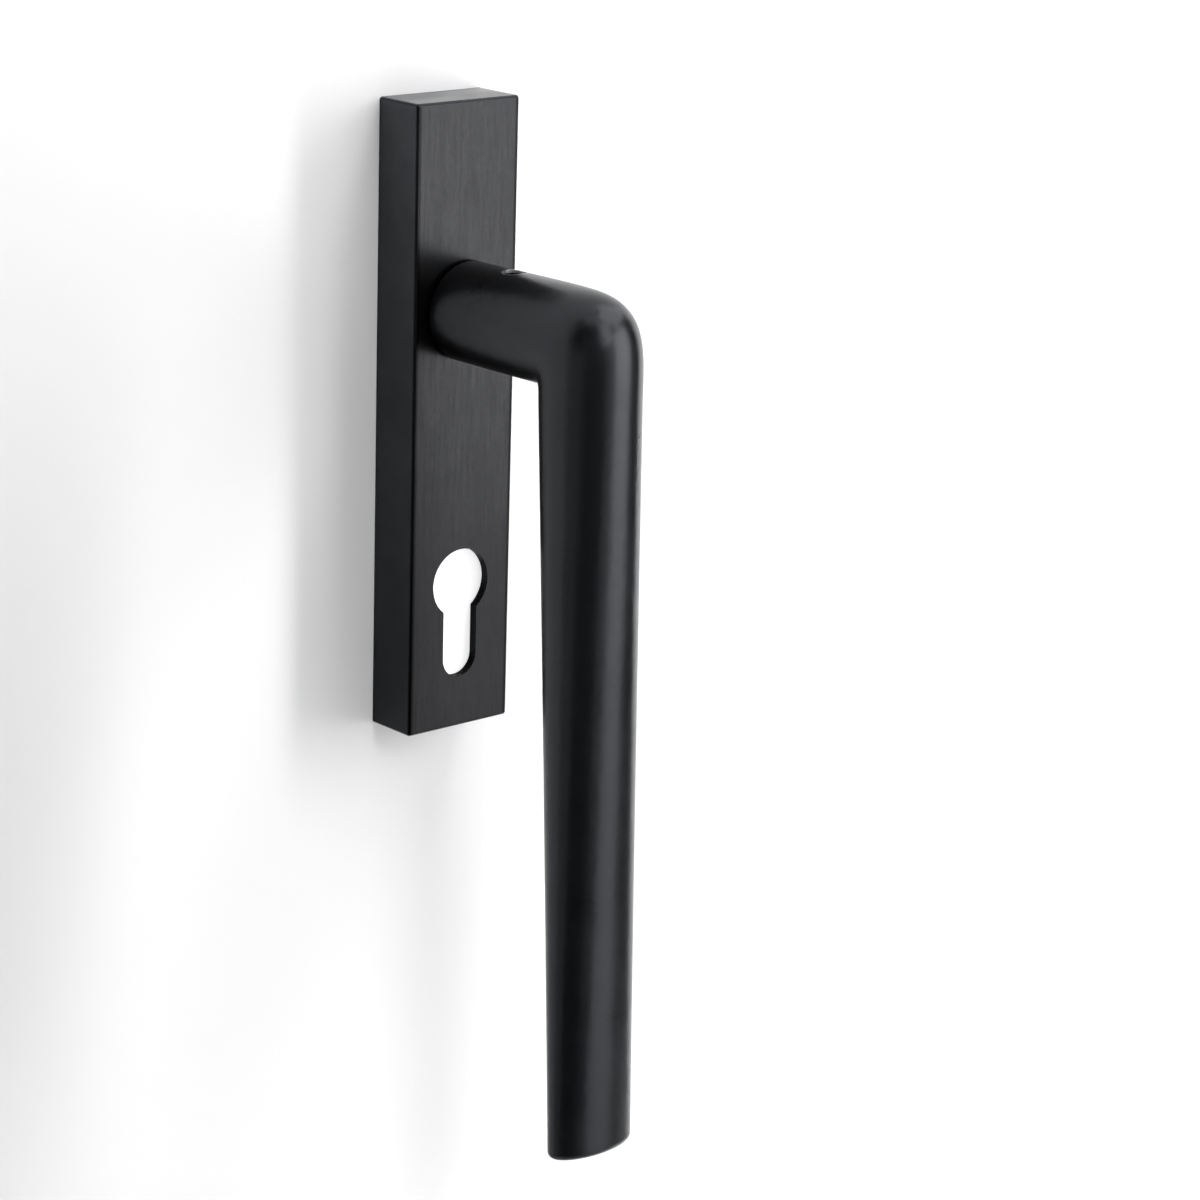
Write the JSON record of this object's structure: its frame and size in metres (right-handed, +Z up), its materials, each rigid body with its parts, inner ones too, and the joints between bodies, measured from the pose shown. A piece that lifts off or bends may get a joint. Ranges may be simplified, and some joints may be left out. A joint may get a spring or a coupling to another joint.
{
  "type": "lift-and-slide patio door handle",
  "caption": "Long lever handle that turns half a turn on a slim rectangular plate with a profile cylinder hole and a square spindle.",
  "frame": {"origin": "on the spindle axis at the door face, midway between the two fixing screws", "axes": "+Z up along the plate, away from the cylinder hole; -Y out of the door towards the hand; +X to the right seen from the front"},
  "size_m": [0.032, 0.136, 0.257],
  "materials": {
    "brushed_black": "brushed, black anodised",
    "satin_black": "satin black coating",
    "natural_polyamide": "moulded, natural",
    "black_polyamide": "moulded, black",
    "black_foam": "closed-cell pad",
    "bronze": "turned",
    "black_steel": "black oxide",
    "plated_steel": "zinc plated",
    "spring_steel": "hardened"
  },
  "bodies": {
    "plate": {"cover_plate": "brushed_black", "rear_gasket": "black_foam", "carrier": "natural_polyamide", "bearing_bush": "bronze", "guide_ring": "black_polyamide", "friction_washer": "natural_polyamide", "threaded_insert": "bronze", "cover_grub_screw": "black_steel", "upper_support_sleeve": "plated_steel", "lower_support_sleeve": "plated_steel", "upper_lock_washer": "spring_steel", "lower_lock_washer": "spring_steel", "upper_fixing_screw": "plated_steel", "lower_fixing_screw": "plated_steel"},
    "lever": {"lever": "satin_black", "spindle": "plated_steel", "neck_grub_screw": "black_steel", "stop_disc": "plated_steel", "wave_washer": "spring_steel", "retaining_ring": "spring_steel"}
  },
  "joints": [
    {"name": "lever_turn", "type": "hinge", "parent": "plate", "child": "lever", "pos_m": [0, 0, 0], "axis": [0, -1, 0], "range_deg": [0, 180]}
  ]
}
